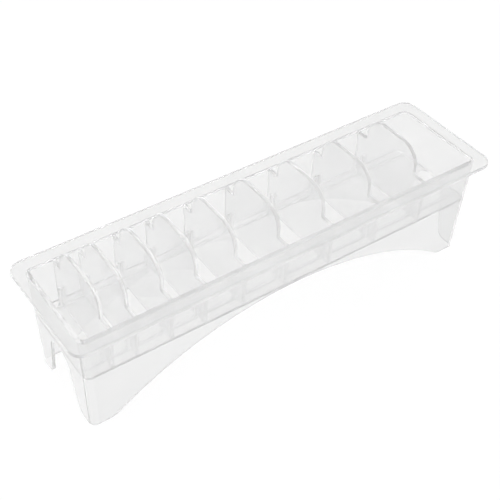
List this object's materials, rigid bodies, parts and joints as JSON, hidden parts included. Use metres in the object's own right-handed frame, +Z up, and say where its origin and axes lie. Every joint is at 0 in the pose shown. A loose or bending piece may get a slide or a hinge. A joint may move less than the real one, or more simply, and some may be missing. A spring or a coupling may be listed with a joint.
{
  "type": "clear bench rack for graded clipper guide combs",
  "caption": "Clear moulded bench rack with a flat rim, graded bays between round-humped dividers, arched side walls and notched ends.",
  "frame": {"origin": "centre of the footprint, on the plane the feet stand on", "axes": "+X along the rack from the narrow bays to the wide bays, +Y to the rear, +Z up"},
  "size_m": [0.29, 0.08, 0.0895],
  "materials": {
    "clear_plastic": "clear, polished"
  },
  "bodies": {
    "root": {"rim_flange": "clear_plastic", "front_wall": "clear_plastic", "rear_wall": "clear_plastic", "left_end_wall": "clear_plastic", "right_end_wall": "clear_plastic", "floor_panel": "clear_plastic", "front_rail": "clear_plastic", "rear_rail": "clear_plastic", "divider_1": "clear_plastic", "divider_2": "clear_plastic", "divider_3": "clear_plastic", "divider_4": "clear_plastic", "divider_5": "clear_plastic", "divider_6": "clear_plastic", "divider_7": "clear_plastic", "divider_8": "clear_plastic", "divider_9": "clear_plastic"}
  },
  "joints": []
}
